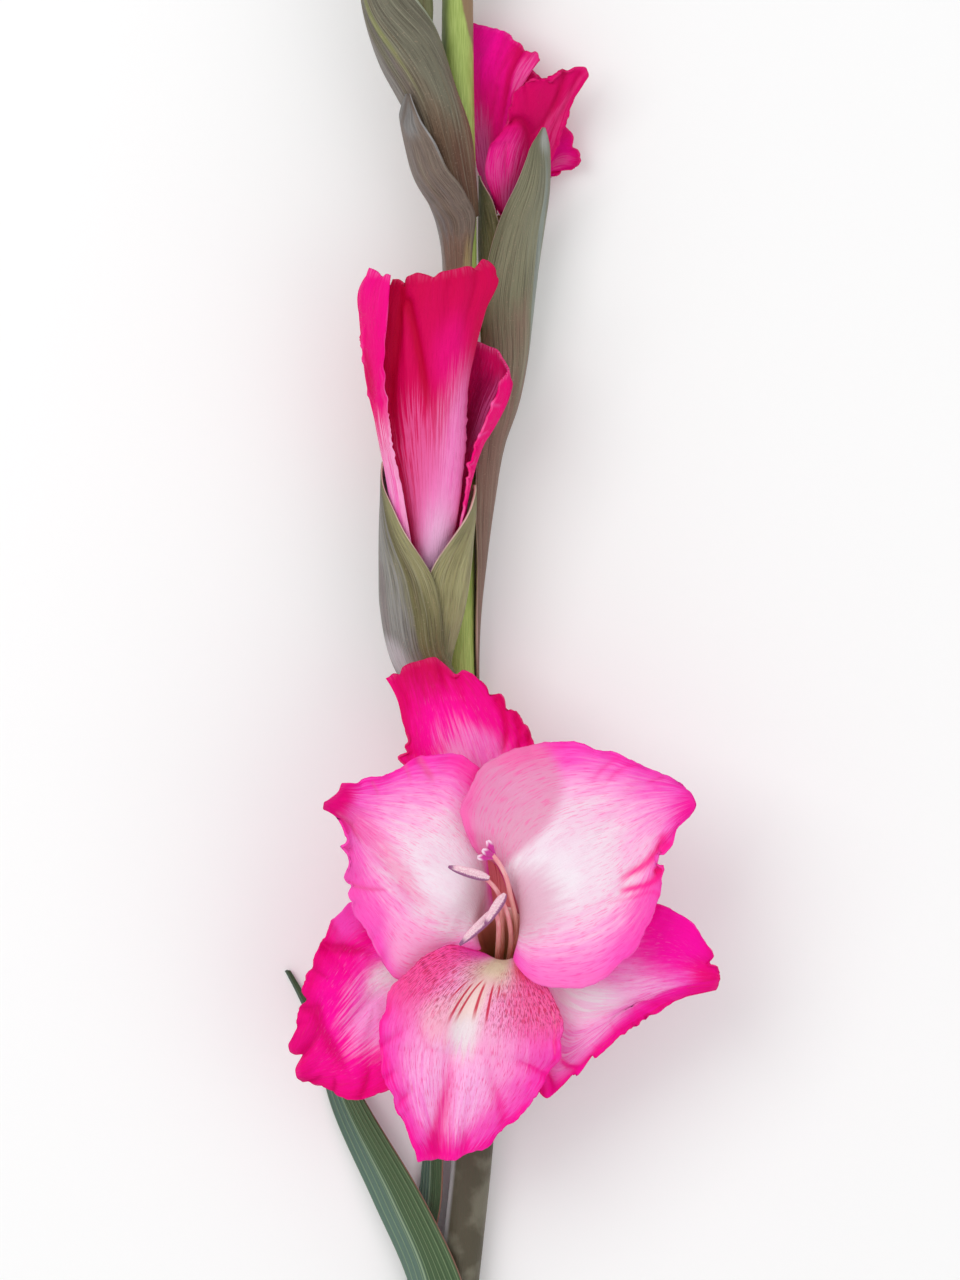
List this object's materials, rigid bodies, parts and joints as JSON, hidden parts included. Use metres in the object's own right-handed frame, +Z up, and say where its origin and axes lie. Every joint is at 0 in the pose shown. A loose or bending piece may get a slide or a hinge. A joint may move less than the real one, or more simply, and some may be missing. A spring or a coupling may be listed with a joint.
{
  "type": "cut gladiolus spike",
  "caption": "Cut gladiolus spike lying on its back: a ruffled pink bloom open to the front, a half-open bloom, a bloom seen from the side, closed buds above and sword leaves below.",
  "frame": {"origin": "on the flat underside of the stem, below the open bloom", "axes": "+Y along the stem towards the tip of the spike, +Z up from the surface it lies on, +X to the right of the open bloom as it is looked at from above"},
  "size_m": [0.1058, 0.5121, 0.0536],
  "materials": {
    "stem": "satin",
    "leaf": "satin",
    "outer_bract": "satin",
    "inner_bract": "satin",
    "closed_bud": "satin",
    "open_petal": "matte",
    "folded_petal": "matte",
    "flower_tube": "matte",
    "filament": "satin",
    "anther": "matte"
  },
  "bodies": {
    "root": {"stem": "stem", "leaf_front": "leaf", "leaf_back": "leaf", "anther_left": "anther", "anther_middle": "anther", "anther_right": "anther", "bud_fifth_bract": "outer_bract", "bud_fifth_core": "closed_bud", "bud_fourth_bract": "outer_bract", "bud_fourth_core": "closed_bud", "bud_sixth_bract": "outer_bract", "bud_sixth_core": "closed_bud", "bud_third_bract": "outer_bract", "bud_third_core": "closed_bud", "filament_left": "filament", "filament_middle": "filament", "filament_right": "filament", "half_open_bract_inner": "inner_bract", "half_open_bract_outer": "outer_bract", "half_open_tepal_back": "folded_petal", "half_open_tepal_core_left": "folded_petal", "half_open_tepal_core_right": "folded_petal", "half_open_tepal_front": "folded_petal", "half_open_tepal_left": "folded_petal", "half_open_tepal_right": "folded_petal", "half_open_tube": "flower_tube", "left_bud_bract_green": "inner_bract", "left_bud_bract_long": "outer_bract", "left_bud_bract_short": "outer_bract", "open_bloom_bract_inner": "inner_bract", "open_bloom_bract_outer": "outer_bract", "open_bloom_tube": "flower_tube", "side_bloom_bract_inner": "inner_bract", "side_bloom_bract_outer": "outer_bract", "side_bloom_tepal_back": "folded_petal", "side_bloom_tepal_front": "folded_petal", "side_bloom_tepal_inner": "folded_petal", "side_bloom_tepal_left": "folded_petal", "side_bloom_tepal_right": "folded_petal", "side_bloom_tube": "flower_tube", "spike_tip": "closed_bud", "style": "filament", "tepal_lip": "open_petal", "tepal_lower_left": "open_petal", "tepal_lower_right": "open_petal", "tepal_top": "open_petal", "tepal_upper_left": "open_petal", "tepal_upper_right": "open_petal"}
  },
  "joints": []
}
